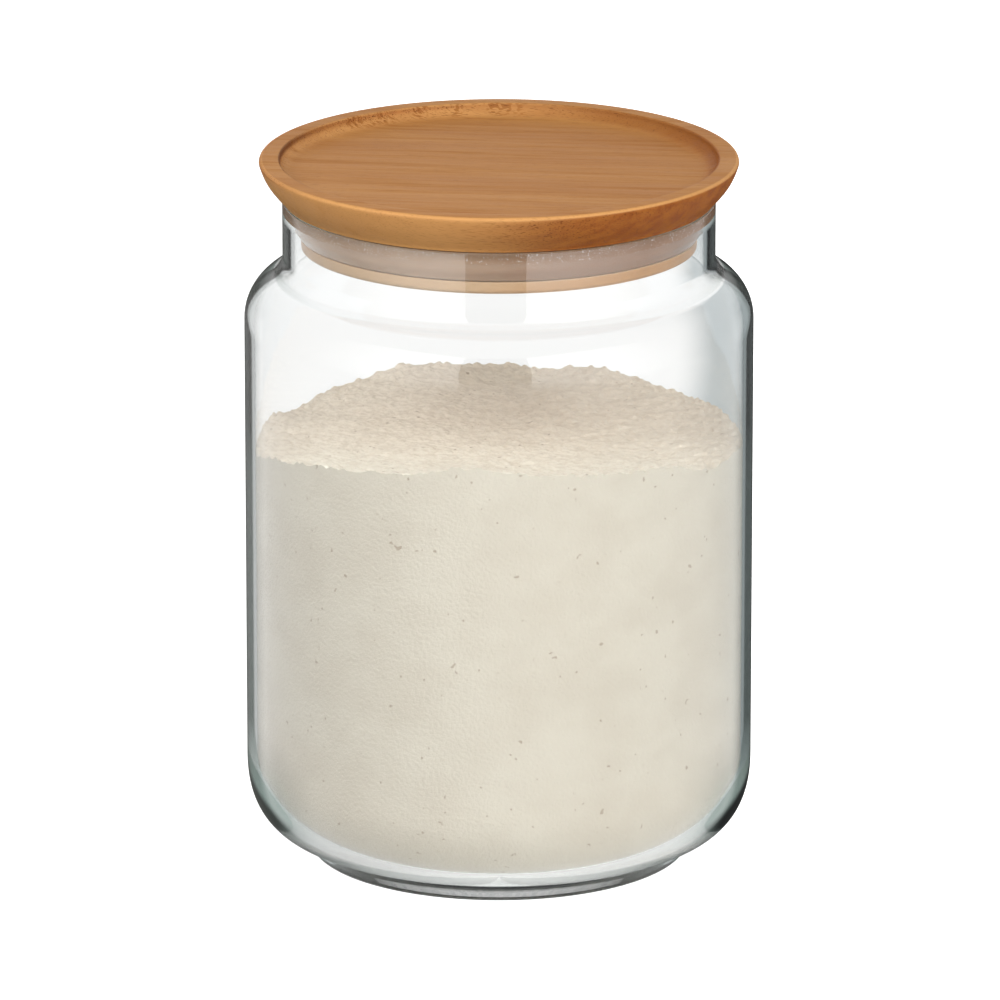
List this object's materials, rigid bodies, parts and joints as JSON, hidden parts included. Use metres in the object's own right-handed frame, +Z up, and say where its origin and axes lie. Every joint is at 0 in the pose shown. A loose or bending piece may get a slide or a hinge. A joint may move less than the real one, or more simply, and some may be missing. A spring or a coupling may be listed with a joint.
{
  "type": "glass storage jar",
  "caption": "Clear glass storage jar with a short neck and inset foot, closed by a turned wooden lid with a shallow tray top and a silicone seal round its plug, part filled with flour.",
  "frame": {"origin": "centre of the foot, on the surface that the jar stands on", "axes": "+Z up the jar's axis from the foot to the lid; -Y is the side that the flour is heaped against"},
  "size_m": [0.155, 0.155, 0.2182],
  "materials": {
    "clear_glass": "polished",
    "oiled_wood": "satin",
    "silicone": "satin",
    "flour": "matte"
  },
  "bodies": {
    "jar": {"glass_jar": "clear_glass", "flour_fill": "flour"},
    "seal": {"seal_ring": "silicone"},
    "lid": {"wooden_lid": "oiled_wood"}
  },
  "joints": [
    {"name": "lid_lift", "type": "slide", "parent": "jar", "child": "seal", "axis": [0, 0, 1], "range_m": [0, 0.16]},
    {"name": "lid_turn", "type": "hinge", "parent": "seal", "child": "lid", "pos_m": [0, 0, 0.2054], "axis": [0, 0, 1], "continuous": true}
  ]
}
